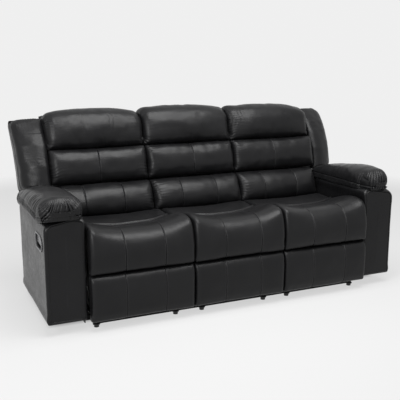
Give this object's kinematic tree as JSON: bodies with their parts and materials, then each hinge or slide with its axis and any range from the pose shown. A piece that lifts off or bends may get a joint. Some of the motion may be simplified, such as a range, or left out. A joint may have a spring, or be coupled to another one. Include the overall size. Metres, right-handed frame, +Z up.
{
  "type": "reclining_sofa",
  "caption": "Black leather reclining sofa: padded arms with recessed release levers, pillow backs with side wings, a fixed middle seat and outer seats that recline and lift a footrest.",
  "frame": {"origin": "On the floor under the centre of the sofa's bounding box", "axes": "+X to the right as seen from the front, +Y towards the back, +Z up"},
  "size_m": [2.08, 0.916, 1.0396],
  "materials": {
    "cushion_leather": "semi_gloss",
    "panel_leather": "semi_gloss",
    "frame_wood": "matte",
    "black_steel": "semi_gloss",
    "spring_steel": "satin",
    "black_plastic": "matte",
    "lever_plastic": "satin"
  },
  "bodies": {
    "base": {"base_frame": "black_steel", "feet": "black_plastic", "arm_frames": "frame_wood", "handle_cups": "black_plastic", "left_arm_shell": "panel_leather", "right_arm_shell": "panel_leather", "left_arm_pad": "cushion_leather", "right_arm_pad": "cushion_leather", "middle_seat_frame": "frame_wood", "middle_seat_springs": "spring_steel", "middle_seat_cushion": "cushion_leather", "middle_front_board": "frame_wood", "middle_front_pad": "cushion_leather", "middle_back_frame": "frame_wood", "middle_rear_cover": "panel_leather", "middle_head_roll": "cushion_leather", "middle_middle_roll": "cushion_leather", "middle_lumbar_roll": "cushion_leather"},
    "left_rear_swing": {"left_rear_swing_links": "black_steel"},
    "left_seat": {"left_seat_frame": "frame_wood", "left_seat_springs": "spring_steel", "left_seat_cushion": "cushion_leather", "left_side_plates": "black_steel"},
    "left_front_swing": {"left_front_swing_links": "black_steel"},
    "left_back": {"left_back_frame": "frame_wood", "left_back_brackets": "black_steel", "left_rear_cover": "panel_leather", "left_head_roll": "cushion_leather", "left_middle_roll": "cushion_leather", "left_lumbar_roll": "cushion_leather", "left_wing": "cushion_leather"},
    "left_drive": {"left_drive_link": "black_steel"},
    "left_front_link": {"left_front_links": "black_steel"},
    "left_cross_link": {"left_cross_links": "black_steel"},
    "left_outer_link": {"left_outer_links": "black_steel"},
    "left_footrest": {"left_footrest_board": "frame_wood", "left_footrest_pad": "cushion_leather", "left_footrest_brackets": "black_steel"},
    "left_lever": {"left_release_lever": "lever_plastic"},
    "right_rear_swing": {"right_rear_swing_links": "black_steel"},
    "right_seat": {"right_seat_frame": "frame_wood", "right_seat_springs": "spring_steel", "right_seat_cushion": "cushion_leather", "right_side_plates": "black_steel"},
    "right_front_swing": {"right_front_swing_links": "black_steel"},
    "right_back": {"right_back_frame": "frame_wood", "right_back_brackets": "black_steel", "right_rear_cover": "panel_leather", "right_head_roll": "cushion_leather", "right_middle_roll": "cushion_leather", "right_lumbar_roll": "cushion_leather", "right_wing": "cushion_leather"},
    "right_drive": {"right_drive_link": "black_steel"},
    "right_front_link": {"right_front_links": "black_steel"},
    "right_cross_link": {"right_cross_links": "black_steel"},
    "right_outer_link": {"right_outer_links": "black_steel"},
    "right_footrest": {"right_footrest_board": "frame_wood", "right_footrest_pad": "cushion_leather", "right_footrest_brackets": "black_steel"},
    "right_lever": {"right_release_lever": "lever_plastic"}
  },
  "joints": [
    {"name": "left_recline", "type": "hinge", "parent": "left_seat", "child": "left_back", "pos_m": [-0.537, 0.178, 0.33], "axis": [-1, 0, 0], "range_deg": [0, 25]},
    {"name": "left_footrest", "type": "hinge", "parent": "left_seat", "child": "left_drive", "pos_m": [-0.537, -0.2226, 0.3001], "axis": [-1, 0, 0], "range_deg": [0, 115.67]},
    {"name": "left_release", "type": "hinge", "parent": "base", "child": "left_lever", "pos_m": [-1.002, -0.214, 0.449], "axis": [0, 0, -1], "range_deg": [0, 30], "stiffness_Nm_per_rad": 1.2},
    {"name": "left_rear_swing_base", "type": "hinge", "parent": "base", "child": "left_rear_swing", "pos_m": [-0.537, 0.04, 0.075], "axis": [-1, 0, 0], "range_deg": [-18.37, 0]},
    {"name": "left_rear_swing_seat", "type": "hinge", "parent": "left_rear_swing", "child": "left_seat", "pos_m": [-0.537, 0.04, 0.25], "axis": [-1, 0, 0], "range_deg": [0, 23.45]},
    {"name": "left_front_swing_base", "type": "hinge", "parent": "base", "child": "left_front_swing", "pos_m": [-0.537, -0.215, 0.075], "axis": [-1, 0, 0], "range_deg": [-18.37, 0]},
    {"name": "left_front_link_seat", "type": "hinge", "parent": "left_seat", "child": "left_front_link", "pos_m": [-0.537, -0.289, 0.2779], "axis": [-1, 0, 0], "range_deg": [0, 114.91]},
    {"name": "left_cross_link_drive", "type": "hinge", "parent": "left_drive", "child": "left_cross_link", "pos_m": [-0.537, -0.0677, 0.1675], "axis": [-1, 0, 0], "range_deg": [-112.4, 0]},
    {"name": "left_outer_link_drive", "type": "hinge", "parent": "left_drive", "child": "left_outer_link", "pos_m": [-0.537, -0.0713, 0.128], "axis": [-1, 0, 0], "range_deg": [-109.03, 0]},
    {"name": "left_footrest_tilt", "type": "hinge", "parent": "left_cross_link", "child": "left_footrest", "pos_m": [-0.537, -0.338, 0.2451], "axis": [-1, 0, 0], "range_deg": [0, 86.73]},
    {"name": "right_recline", "type": "hinge", "parent": "right_seat", "child": "right_back", "pos_m": [0.537, 0.178, 0.33], "axis": [-1, 0, 0], "range_deg": [0, 25]},
    {"name": "right_footrest", "type": "hinge", "parent": "right_seat", "child": "right_drive", "pos_m": [0.537, -0.2226, 0.3001], "axis": [-1, 0, 0], "range_deg": [0, 115.67]},
    {"name": "right_release", "type": "hinge", "parent": "base", "child": "right_lever", "pos_m": [1.002, -0.214, 0.449], "axis": [0, 0, 1], "range_deg": [0, 30], "stiffness_Nm_per_rad": 1.2},
    {"name": "right_rear_swing_base", "type": "hinge", "parent": "base", "child": "right_rear_swing", "pos_m": [0.537, 0.04, 0.075], "axis": [-1, 0, 0], "range_deg": [-18.37, 0]},
    {"name": "right_rear_swing_seat", "type": "hinge", "parent": "right_rear_swing", "child": "right_seat", "pos_m": [0.537, 0.04, 0.25], "axis": [-1, 0, 0], "range_deg": [0, 23.45]},
    {"name": "right_front_swing_base", "type": "hinge", "parent": "base", "child": "right_front_swing", "pos_m": [0.537, -0.215, 0.075], "axis": [-1, 0, 0], "range_deg": [-18.37, 0]},
    {"name": "right_front_link_seat", "type": "hinge", "parent": "right_seat", "child": "right_front_link", "pos_m": [0.537, -0.289, 0.2779], "axis": [-1, 0, 0], "range_deg": [0, 114.91]},
    {"name": "right_cross_link_drive", "type": "hinge", "parent": "right_drive", "child": "right_cross_link", "pos_m": [0.537, -0.0677, 0.1675], "axis": [-1, 0, 0], "range_deg": [-112.4, 0]},
    {"name": "right_outer_link_drive", "type": "hinge", "parent": "right_drive", "child": "right_outer_link", "pos_m": [0.537, -0.0713, 0.128], "axis": [-1, 0, 0], "range_deg": [-109.03, 0]},
    {"name": "right_footrest_tilt", "type": "hinge", "parent": "right_cross_link", "child": "right_footrest", "pos_m": [0.537, -0.338, 0.2451], "axis": [-1, 0, 0], "range_deg": [0, 86.73]}
  ],
  "couplings": [
    {"joint": "left_rear_swing_base", "follows": "left_recline", "ratio": -0.73271},
    {"joint": "left_rear_swing_seat", "follows": "left_recline", "ratio": 0.9358},
    {"joint": "left_front_swing_base", "follows": "left_recline", "ratio": -0.73271},
    {"joint": "left_front_link_seat", "follows": "left_footrest", "ratio": 0.99303},
    {"joint": "left_cross_link_drive", "follows": "left_footrest", "ratio": -0.97131},
    {"joint": "left_outer_link_drive", "follows": "left_footrest", "ratio": -0.94218},
    {"joint": "left_footrest_tilt", "follows": "left_footrest", "ratio": 0.7494},
    {"joint": "right_rear_swing_base", "follows": "right_recline", "ratio": -0.73271},
    {"joint": "right_rear_swing_seat", "follows": "right_recline", "ratio": 0.9358},
    {"joint": "right_front_swing_base", "follows": "right_recline", "ratio": -0.73271},
    {"joint": "right_front_link_seat", "follows": "right_footrest", "ratio": 0.99303},
    {"joint": "right_cross_link_drive", "follows": "right_footrest", "ratio": -0.97131},
    {"joint": "right_outer_link_drive", "follows": "right_footrest", "ratio": -0.94218},
    {"joint": "right_footrest_tilt", "follows": "right_footrest", "ratio": 0.7494}
  ]
}
